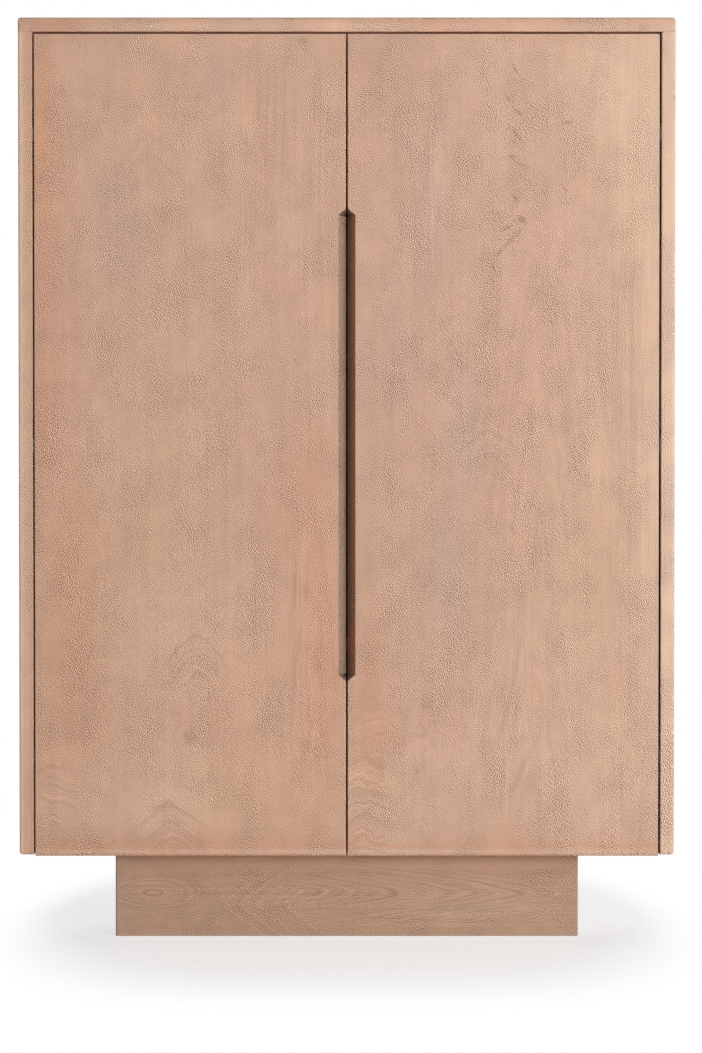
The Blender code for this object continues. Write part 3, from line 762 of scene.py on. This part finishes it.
# %% More stains, painted light and shade, and a way to dress a board
MAUVE = (0.640, 0.398, 0.318, 1)
TAN = (0.690, 0.440, 0.298, 1)
HONEY = (0.735, 0.432, 0.275, 1)
PEARL = (0.745, 0.518, 0.388, 1)
BROWN = (0.690, 0.432, 0.275, 1)
RUST = (0.700, 0.380, 0.262, 1)
WASH = (0.840, 0.575, 0.415, 1)
SUNNY = (0.900, 0.570, 0.385, 1)
PAINTED_HIGHLIGHT = (1.000, 0.770, 0.610, 1)
UMBER = (0.520, 0.310, 0.205, 1)
GREYED = (0.470, 0.370, 0.310, 1)
SHADED = (0.380, 0.250, 0.180, 1)
PAINTED_GAP_SHADE = (0.080, 0.045, 0.030, 1)

dressed = set()


def dress(material, *names):
    """Gives a material to every slot of the named pieces."""
    for name in names:
        dressed.add(name)
        for slot in nodes[name].material_slots:
            slot.material = material


print("palest", PAINTED_HIGHLIGHT[:3], "and darkest", PAINTED_GAP_SHADE[:3])

# %% [markdown]
# ## The left door
#
# Every outer board is cut from another part of the tree, so each gets the recipe with
# its own `move` through the noise, and with the grain along its length. The left door
# is orange down its outer edge and paler in the middle, with arches low down, rings at
# the foot and one small knot near the top. Along the foot of both doors runs an orange
# line, and below it a painted highlight where the edge was rounded over.
#
# One material for the whole cabinet would be less work, but then the grain would run
# through from board to board, which no joiner can do.

# %% Stains and painted light of the left door
DOOR_FOOT_LINE_AND_HIGHLIGHT = [
    (347, 845.5, 500, 2.0, ORANGE, 0.55),
    # painted highlight on the rounded-over foot of the door
    (347, 852.0, 500, 2.6, CREAM, 0.90),
]
LEFT_STAINS_AND_LIGHT = [
    (38, 150, 20, 130, ORANGE, 0.95),
    (44, 300, 22, 60, RUST, 0.50),
    (44, 415, 24, 70, RUST, 0.95),
    (72, 560, 26, 100, ORANGE, 0.60),
    (294, 500, 30, 80, RUST, 0.65),
    (322, 660, 20, 140, ORANGE, 0.80),
    (262, 150, 12, 60, RUST, 0.35),
    (120, 230, 60, 110, ASH, 0.30),
    (215, 90, 18, 50, ASH, 0.60),
    (150, 500, 60, 110, TAN, 0.50),
    (95, 660, 70, 170, HONEY, 0.50),
    (250, 700, 60, 130, HONEY, 0.40),
    (230, 610, 40, 60, CREAM, 0.35),
    (60, 230, 28, 150, ORANGE, 0.30),
    (300, 800, 34, 50, UMBER, 0.12),
    (66, 720, 34, 110, ORANGE, 0.40),
    # cream at the foot, partly painted light where the lamp's light falls off towards the
    # floor
    (180, 800, 130, 44, CREAM, 0.60),
    (280, 800, 70, 50, HONEY, 0.70),
    (155, 640, 40, 70, CREAM, 0.50),
    (170, 110, 90, 60, TAN, 0.40),
    (240, 200, 40, 70, TAN, 0.40),
    (170, 220, 18, 16, UMBER, 0.30),
    (262, 570, 14, 80, UMBER, 0.14),
    (60, 395, 22, 22, UMBER, 0.22),
    (55, 700, 30, 40, UMBER, 0.08),
    (75, 30, 60, 14, UMBER, 0.40),
    (38, 400, 8, 330, UMBER, 0.22),
    (170, 850, 180, 14, ORANGE, 0.60),
    (150, 842, 190, 14, UMBER, 0.22),
    *DOOR_FOOT_LINE_AND_HIGHLIGHT,
]
print(len(LEFT_STAINS_AND_LIGHT), "stains on the left door")

# %% Figure of the left door
LEFT_FIGURE = [
    (152, 165, 22, 60, 6, 0.11, 0.8),
    (302, 41, 12, 9, 3, 0.30, 0),
    (196, 655, 26, 30, 8, 0.24, 1.1),
    (189, 738, 16, 18, 3, 0.10, 0),
    (54, 785, 18, 38, 11, 0.26, 0.35),
    (170, 820, 30, 28, 9, 0.30, 0.8),
    (316, 640, 24, 110, 5, 0.14, 9.0),
]
LEFT_LINES = [
    (275, 140, 44, 150, 0.11),
    (325, 180, 22, 200, 0.10),
    (295, 640, 30, 120, 0.12),
]
LEFT_MARKS = [
    (188, 738, 5, 6, 0.26),
    (301, 40, 6, 5, 0.25),
    (160, 808, 12, 5, 0.16),
    (172, 822, 10, 5, 0.14),
    (294, 660, 4, 50, 0.12),
]
LEFT_STROKES = [
    (293, 600, 2.4, 50, 7, 0.10),
    (176, 652, 1.6, 6, 0, 0.20),
]
dress(wood("left_door_face", "Z", move=1.3, stains_and_light=LEFT_STAINS_AND_LIGHT, figure=LEFT_FIGURE,
           lines=LEFT_LINES, marks=LEFT_MARKS, strokes=LEFT_STROKES,
           hollow=pull_painted_shade(*LEFT_SLOPE_SHADE)),
      "left_door")
print(len(LEFT_FIGURE), "swirls on the left door")

# %% [markdown]
# ## The right door
#
# The right door is cooler: grey and mauve where the doors meet, and cream towards the
# outer edge. A column of short slanted strokes runs down from its top, dark and as
# thin as pencil lines. They could be cut into the mesh, but they are only stain that
# caught in torn grain, so they are thin ovals like the rest.
#
# In the photograph the gap beside this door is darker than shade alone makes it, so
# painted shade darkens it: its outer edge has a dark line that reaches back.

# %% Stains and painted light of the right door
RIGHT_STAINS_AND_LIGHT = [
    (400, 300, 44, 260, MAUVE, 0.52),
    (380, 780, 34, 70, HONEY, 0.40),
    (400, 480, 50, 60, CREAM, 0.25),
    (540, 680, 70, 70, CREAM, 0.30),
    (500, 70, 60, 40, CREAM, 0.25),
    (438, 200, 15, 90, ASH, 0.50),
    (465, 430, 26, 80, ASH, 0.75),
    (450, 570, 24, 70, ASH, 0.75),
    (545, 300, 50, 120, ROSE, 0.70),
    (600, 450, 70, 420, CREAM, 0.35),
    (640, 140, 34, 110, CREAM, 0.85),
    (618, 80, 46, 64, WASH, 0.55),
    (654, 430, 16, 400, WASH, 0.55),
    # cream at the foot, partly painted light where the lamp's light falls off towards the
    # floor
    (600, 760, 80, 70, CREAM, 0.70),
    (440, 790, 110, 44, CREAM, 0.50),
    (372, 690, 16, 100, ORANGE, 0.50),
    (570, 560, 50, 90, TAN, 0.50),
    (400, 80, 30, 40, UMBER, 0.16),
    (520, 420, 60, 30, UMBER, 0.08),
    (470, 850, 190, 12, ORANGE, 0.35),
    *DOOR_FOOT_LINE_AND_HIGHLIGHT,
]
print(len(RIGHT_STAINS_AND_LIGHT), "stains on the right door")

# %% Figure and strokes of the right door
RIGHT_FIGURE = [
    (514, 150, 16, 100, 14, 0.10, 0.7),
    (540, 420, 56, 150, 6, 0.12, 8.0),
    (530, 710, 40, 100, 5, 0.11, 6.0),
    (489, 445, 26, 20, 5, 0.20, 0.8),
    (421, 760, 14, 80, 11, 0.15, 1.2),
    (378, 728, 16, 26, 9, 0.18, 0.6),
    (364, 812, 24, 44, 17, 0.34, 0.35),
]
RIGHT_LINES = [
    (436, 155, 10, 90, 0.24),
    (628, 400, 28, 420, 0.12),
    (520, 700, 20, 120, 0.12),
]
RIGHT_MARKS = [
    (516, 132, 6, 8, 0.08),
    (516, 200, 6, 8, 0.10),
    (522, 220, 6, 5, 0.14),
    (425, 706, 6, 3, 0.22),
    (421, 736, 5, 3, 0.24),
    (417, 771, 3, 4, 0.28),
]
RIGHT_STROKES = [
    (515, 70, 1.4, 7.0, -30, 0.32),
    (507.5, 99, 1.3, 4.5, -38, 0.30),
    (518, 112, 1.4, 5.0, -50, 0.36),
    (513, 130, 1.2, 4.5, -35, 0.30),
    (517, 136, 1.2, 5.0, -45, 0.30),
    (512, 157, 1.9, 3.5, -60, 0.40),
    (520, 164, 1.3, 7.0, -60, 0.30),
    (515, 198.5, 1.7, 5.0, -40, 0.32),
    (521.5, 219.5, 2.8, 5.5, -50, 0.38),
    (505.5, 228, 1.9, 4.5, 70, 0.32),
    (511, 239.5, 2.0, 17.0, 43, 0.26),
    (498.5, 253, 2.3, 4.5, 45, 0.24),
    (493, 268, 1.3, 1.6, 0, 0.45),
    (568, 122.5, 1.7, 5.0, 80, 0.34),
    (564.5, 165, 1.1, 8.0, 0, 0.18),
    (565, 189.5, 1.3, 3.5, -45, 0.28),
    (517, 660, 2.6, 30, 12, 0.14),
    (506, 715, 2.6, 26, 14, 0.12),
    (521, 772, 3.0, 24, 22, 0.14),
]
# painted shade on the door's outer edge, inside the gap beside the right side
DOOR_GAP_SHADE = [(659.4, 444, 0.8, 1500, PAINTED_GAP_SHADE, 0.75, 0.0125)]
dress(wood("right_door_face", "Z", move=4.1, light=0.993, grit=1.1,
           stains_and_light=RIGHT_STAINS_AND_LIGHT, figure=RIGHT_FIGURE, lines=RIGHT_LINES,
           marks=RIGHT_MARKS, strokes=RIGHT_STROKES, edges=DOOR_GAP_SHADE,
           hollow=pull_painted_shade(*RIGHT_SLOPE_SHADE)),
      "right_door")
print(len(RIGHT_STROKES), "strokes on the right door")

# %% [markdown]
# ## The sides and the top
#
# From the front these boards show only their edges, 22 millimetres wide. The left one
# has a painted highlight on its rounded outer corner and painted shade at the gap beside
# its door, the right one is the palest wood of all, with painted shade in the gap beside
# its door, and the top has a brown stain at its left end. The photograph can't show
# their broad faces, so those have the plain recipe with less grit and clearer rings.
#
# The edges could be separate strips, as on veneered boards. These are solid boards,
# so one material covers face and edge, and depth alone tells the two apart.

# %% Dress the sides and the top
SIDE_STAINS = [(650, 444, 60, 900, PEARL, 0.9)]
LEFT_EDGES = [
    # a painted highlight on the rounded outer corner, darker towards the door, and painted
    # shade at the gap
    (19.0, 444, 3.0, 1500, PAINTED_HIGHLIGHT, 0.90, 0.004),
    (31.5, 444, 5.0, 1500, UMBER, 0.25, 0.004),
    (31.8, 444, 1.3, 1500, SHADED, 0.25, 0.004),
]
# painted shade on the side's inner face, inside the gap beside the right door
RIGHT_GAP_SHADE = [(660.3, 444, 0.7, 1500, PAINTED_GAP_SHADE, 0.95, 0.0125)]
TOP_STAINS = [
    (642, 28, 5, 4, UMBER, 0.80),
    (56, 25, 30, 9, ORANGE, 0.90),
    (58, 25, 28, 9, UMBER, 0.50),
    (50, 26, 7, 4, UMBER, 0.70),
    (175, 24, 36, 9, SUNNY, 0.60),
    (365, 24, 40, 9, SUNNY, 0.55),
    (440, 24, 50, 9, ORANGE, 0.20),
]
TOP_EDGES = [
    (351, 17.5, 1500, 1.7, SHADED, 0.50, 0.004),
    (351, 21.0, 1500, 1.8, ORANGE, 0.45, 0.004),
]
dress(wood("left_side_face", "Z", move=7.7, light=1.10, grit=0.50, edge_grit=0.8,
           ring_share=0.12, edges=LEFT_EDGES),
      "left_side")
dress(wood("right_side_face", "Z", move=9.2, light=1.158, grit=0.50, edge_grit=1.7,
           ring_share=0.12, stains_and_light=SIDE_STAINS, edges=RIGHT_GAP_SHADE),
      "right_side")
dress(wood("top_face", "X", move=2.6, light=1.125, grit=0.60, edge_grit=2.1,
           ring_share=0.09, stains_and_light=TOP_STAINS, edges=TOP_EDGES),
      "top_panel")
print(len(LEFT_EDGES) + len(RIGHT_GAP_SHADE) + len(TOP_EDGES), "worn or stained edges")

# %% [markdown]
# ## The plinth
#
# The plinth stands back under the case, and its colour is painted darker with the
# shade there. Its boards have their grain lying down. The front one is the liveliest
# board of the cabinet: long flat rings at the left end, arches that lie on their side
# in the middle, and thin dark lines low down. Its side edges and its foot are painted
# greyer, and a painted band of light along its top, under the case, makes up for a
# shade that is softer in the photograph.
#
# The arches lie down without any further work, because every board's rows are turned
# with its grain. The ends and the back share the material, since their corners meet
# in the shadow.

# %% Dress the plinth
PLINTH_BEHIND = 0.060
PLINTH_WOBBLES = (0.020, 0.160, 0.10)
PLINTH_STAINS = [
    (347, 890, 420, 90, BROWN, 0.60),
    (420, 885, 130, 16, ROSE, 0.40),
    (480, 906, 90, 22, CREAM, 0.55),
]
PLINTH_FIGURE = [
    (153, 893, 50, 17, 9, 0.50, 0),
    (420, 892, 130, 30, 12, 0.42, 7.0),
    (360, 860, 40, 13, 8, 0.30, 0),
    (262, 905, 50, 34, 9, 0.28, -1.6),
]
PLINTH_LINES = [(470, 908, 140, 22, 0.14), (230, 885, 150, 40, 0.10)]
PLINTH_MARKS = [
    (380, 918, 12, 0.9, 0.24),
    (398, 923, 10, 0.9, 0.22),
    (362, 915, 8, 0.8, 0.20),
    (440, 905, 12, 0.8, 0.14),
    (470, 921, 10, 0.8, 0.18),
    (500, 925, 9, 0.8, 0.18),
]
PLINTH_EDGES = [
    (118.5, 900, 3.0, 200, GREYED, 0.60, 0.004),
    (578.5, 900, 1.8, 200, GREYED, 0.45, 0.004),
    (347, 933.8, 1500, 1.5, GREYED, 0.45, 0.004),
    # painted light: a sunny band along the top, under the case, thins its shade
    (347, 864, 1500, 6.0, SUNNY, 0.35, 0.004),
]
# light=0.78 is painted shade for the plinth's place under the case
dress(wood("plinth_face", "X", move=5.5, light=0.78, behind=PLINTH_BEHIND,
           grit=0.60, edge_grit=1.05, ring_share=0.12, stains_and_light=PLINTH_STAINS,
           figure=PLINTH_FIGURE, wobbles=PLINTH_WOBBLES, lines=PLINTH_LINES,
           marks=PLINTH_MARKS, edges=PLINTH_EDGES),
      "plinth_front", "plinth_back", "plinth_left", "plinth_right")
print(len(dressed), "outer boards dressed")

# %% [markdown]
# ## Inside the cabinet
#
# Behind the doors the boards are planed and washed, but not sandblasted. The same
# recipe gives them with little grit and clearer year rings. Shelves and rails are cut
# with the grain along their length, the back is a thin veneered board with upright
# grain, and the glue blocks in the plinth are offcuts. The photograph shows none of
# these boards, so they have no rows, and chance places all that is on them.

# %% Dress the inner boards
dress(wood("shelf_wood_planed", "X", move=3.3, grit=0.22, ring_share=0.06),
      "bottom_panel", "top_rail", "lower_shelf", "middle_shelf", "upper_shelf")
dress(wood("back_veneer", "Z", move=6.1, light=0.94, grit=0.15, ring_share=0.08),
      "back_panel")
dress(wood("block_offcuts", "Z", move=8.4, light=0.90, grit=0.35, ring_share=0.07),
      *(name for name in nodes if name.startswith("plinth_block")))
print(len(dressed), "boards dressed")

# %% [markdown]
# ## Metal, plastic and rubber
#
# The hinges are die-cast zinc with a satin nickel skin, their pins and the screws are
# bright steel. Metal takes its look from what it mirrors, so the colour stays plain,
# and the making shows in the roughness: cast parts are mottled, turned and stamped
# parts carry fine lines. The catches are pale moulded plastic, and the two soft stops
# are grey rubber with a bloom of dust.
#
# Each could be a recipe of its own. They differ only in the size of their marks and
# in how much these show, so one recipe with a few numbers makes all four.

# %% The metal and plastic recipes
CAST_MOTTLE = (0.0016, 0.0016)
TURNED_LINE = (0.0020, 0.0002)
MOULD_GRAIN = (0.0006, 0.0006)
BLOOM = (0.0030, 0.0030)
NICKEL = (0.620, 0.605, 0.585)
STEEL = (0.660, 0.660, 0.670)
IVORY = (0.780, 0.750, 0.700)
RUBBER = (0.400, 0.390, 0.380)


def fitting(name, tone, size, drift, roughness, spread, height, metallic=0.0):
    """A material for a small part: a tone that drifts, a roughness that spreads."""
    surface = Surface(name)
    place = surface.own_place()
    fine = surface.noise(place, size, detail=2.0)
    worn = surface.noise(place, BLOOM, detail=2.0)
    colour = surface.scaled(tone, worn * drift + fine * (drift / 2) + 1.0)
    return surface.finish(colour, fine * spread + worn * spread + roughness, fine,
                          height, metallic)


nickel = fitting("satin_nickel", NICKEL, CAST_MOTTLE, drift=0.05, roughness=0.36,
                 spread=0.05, height=0.00003, metallic=1.0)
steel = fitting("bright_steel", STEEL, TURNED_LINE, drift=0.04, roughness=0.26,
                spread=0.06, height=0.00001, metallic=1.0)
ivory = fitting("ivory_plastic", IVORY, MOULD_GRAIN, drift=0.02, roughness=0.42,
                spread=0.04, height=0.00002)
rubber = fitting("grey_rubber", RUBBER, MOULD_GRAIN, drift=0.06, roughness=0.75,
                 spread=0.05, height=0.00003)
print("materials so far:", len(bpy.data.materials))

# %% Dress the fittings
for name in nodes:
    if name.endswith(("_case_leaf", "_door_leaf", "_fork", "_tongue")):
        dress(nickel, name)
    elif "_pin_" in name or name.endswith("_strike"):
        dress(steel, name)
    elif name.endswith("_catch"):
        dress(ivory, name)
    elif name.endswith("_bumper"):
        dress(rubber, name)
print(len(nodes) - len(dressed), "pieces left undressed")

# %% [markdown]
# ## Screws
#
# Every hinge leaf is held by two countersunk screws, every catch by two more from
# below, and every strike by one. They are a few millimetres wide, and they show as
# soon as a door stands open. A head is a low disc with a bevelled rim and a cross
# sunk into it. A picture of a cross would be flat, and the real recess catches light.
#
# `add_head` makes a head from rings of points: one for the foot, the shoulder and the
# top of the disc, and twelve-cornered ones for the mouth and the bottom of the cross.
# Walls of faces join them. Each cross stands at another angle, because nobody stops
# turning two screws at the same place.

# %% One screw head
HEAD_SIDES = 24
HEAD_SUNK = 0.0003
SHOULDER = 0.5                 # height of the bevel's foot as a share of the head's
RIM = 0.86                     # radius of the flat top as a share of the head's
CROSS_REACH = 0.62
CROSS_HALF = 0.14
CROSS_TAPER = 0.85             # the cross's bottom as a share of its mouth
CROSS_DEPTH = 0.60             # as a share of the whole head's height


def cross_points(reach, half):
    """The outline of a cross, counter-clockwise."""
    corner = [(reach, -half), (reach, half), (half, half)]
    return [(x * math.cos(turn) - y * math.sin(turn),
             x * math.sin(turn) + y * math.cos(turn))
            for turn in (quarter * math.pi / 2 for quarter in range(4))
            for x, y in corner]


def add_head(mesh, spot, facing, radius, proud, turn):
    """Adds a screw head to a mesh, on a spot and facing away from it."""
    outward = Vector(facing).to_track_quat("Z", "Y").to_matrix().to_4x4()
    stand = Matrix.Translation(spot) @ outward @ Matrix.Rotation(turn, 4, "Z")
    circle = [(math.cos(step * math.tau / HEAD_SIDES),
               math.sin(step * math.tau / HEAD_SIDES)) for step in range(HEAD_SIDES)]

    def ring(points, size, height):
        return [mesh.verts.new(stand @ Vector((x * size, y * size, height)))
                for x, y in points]

    def wall(lower, upper):
        for step, corner in enumerate(lower):
            after = (step + 1) % len(lower)
            mesh.faces.new((corner, lower[after], upper[after], upper[step]))

    cross = cross_points(CROSS_REACH, CROSS_HALF)
    foot = ring(circle, radius, -HEAD_SUNK)
    shoulder = ring(circle, radius, proud * SHOULDER)
    top = ring(circle, radius * RIM, proud)
    mouth = ring(cross, radius, proud)
    bottom = ring(cross, radius * CROSS_TAPER, proud - (proud + HEAD_SUNK) * CROSS_DEPTH)
    mesh.faces.new(list(reversed(foot)))
    wall(foot, shoulder)
    wall(shoulder, top)
    wall(bottom, mouth)
    edges = [mesh.edges.get((loop[step - 1], corner)) or
             mesh.edges.new((loop[step - 1], corner))
             for loop in (top, mouth) for step, corner in enumerate(loop)]
    bmesh.ops.triangle_fill(mesh, edges=edges, use_beauty=True)
    lowest = [mesh.edges.get((bottom[step - 1], corner))
              for step, corner in enumerate(bottom)]
    bmesh.ops.triangle_fill(mesh, edges=lowest, use_beauty=True)


print("a cross has", len(cross_points(CROSS_REACH, CROSS_HALF)), "corners")

# %% Put the screws in the hinges
HEAD_RADIUS = 0.0031
HEAD_PROUD = 0.00045
SCREW_UP = 0.0315
TURN_EACH = 1.9                # how far the cross turns from hinge to hinge, radians
TURN_UP = 31                   # and for each metre between the screws of one leaf
HINGE_HEIGHTS = (0.285, 0.760, 1.235)
HINGE_Y = -0.2139
CASE_LEAF_X = 0.4782
DOOR_LEAF_X = 0.4756
SIDES = (("left", -1), ("right", 1))


def piece(name, mesh, body, material):
    """Turns a finished mesh into a named piece that rides on a body."""
    bmesh.ops.recalc_face_normals(mesh, faces=mesh.faces)
    data = bpy.data.meshes.new(name)
    mesh.to_mesh(data)
    mesh.free()
    data.materials.append(material)
    made = bpy.data.objects.new(name, data)
    scene.collection.objects.link(made)
    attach(made, body)
    return made


screws = []
for side, sign in SIDES:
    for number, height in enumerate(HINGE_HEIGHTS, 1):
        for leaf, body, x, facing in (("case", "case", CASE_LEAF_X, -sign),
                                      ("door", f"{side}_door", DOOR_LEAF_X, sign)):
            mesh = bmesh.new()
            for up in (-SCREW_UP, SCREW_UP):
                turn = TURN_EACH * number + TURN_UP * up + sign
                add_head(mesh, Vector((sign * x, HINGE_Y, height + up)),
                         (facing, 0, 0), HEAD_RADIUS, HEAD_PROUD, turn)
            name = f"{side}_hinge_{number}_{leaf}_screws"
            screws.append(piece(name, mesh, body, steel))
print(len(screws), "pairs of hinge screws")

# %% [markdown]
# ## The catches
#
# The catch is screwed to the underside of the top rail through its two ends, and the
# strike through its middle. The strike has to come within a third of a millimetre of
# the catch, so its screw is almost flush. Two steel pole plates lead the magnet's
# pull from the catch to the strike. They are thin boxes and not lines painted on the
# catch, because a line doesn't glint as an edge does.

# %% Screws and plates of the catches
CATCH_SCREWS = (0.0495, 0.0845)
CATCH_Y = -0.1940
CATCH_UNDER = 1.3297
CATCH_SCREW_RADIUS = 0.0026
CATCH_TURN = 9                 # radians for each metre between the screws
CATCH_FRONT = -0.2009
STRIKE_MIDDLE = (0.0670, -0.2012, 1.3362)
STRIKE_SCREW_RADIUS = 0.0030
STRIKE_TURN = 0.4
FLUSH = 0.00012
PLATE_ENDS = (0.0540, 0.0800)
PLATE_HEIGHTS = ((1.3318, 1.3333), (1.3391, 1.3406))
PLATE_IN = 0.0005


def add_box(mesh, low, high):
    """Adds a box between two corners to a mesh."""
    middle = [(a + b) / 2 for a, b in zip(low, high)]
    size = [abs(b - a) for a, b in zip(low, high)]
    place = Matrix.Translation(middle) @ Matrix.Diagonal((*size, 1))
    bmesh.ops.create_cube(mesh, size=1.0, matrix=place)


for side, sign in SIDES:
    mesh = bmesh.new()
    for x in CATCH_SCREWS:
        add_head(mesh, Vector((sign * x, CATCH_Y, CATCH_UNDER)), (0, 0, -1),
                 CATCH_SCREW_RADIUS, HEAD_PROUD, CATCH_TURN * x + sign)
    piece(f"{side}_catch_screws", mesh, "case", steel)
    mesh = bmesh.new()
    for low, high in PLATE_HEIGHTS:
        add_box(mesh, (sign * PLATE_ENDS[0], CATCH_FRONT - FLUSH, low),
                (sign * PLATE_ENDS[1], CATCH_FRONT + PLATE_IN, high))
    piece(f"{side}_catch_poles", mesh, "case", steel)
    mesh = bmesh.new()
    x, y, z = STRIKE_MIDDLE
    add_head(mesh, Vector((sign * x, y, z)), (0, 1, 0), STRIKE_SCREW_RADIUS, FLUSH,
             STRIKE_TURN + sign)
    piece(f"{side}_strike_screw", mesh, f"{side}_door", steel)
print("catches ready")

# %% [markdown]
# ## Closing the lesson
#
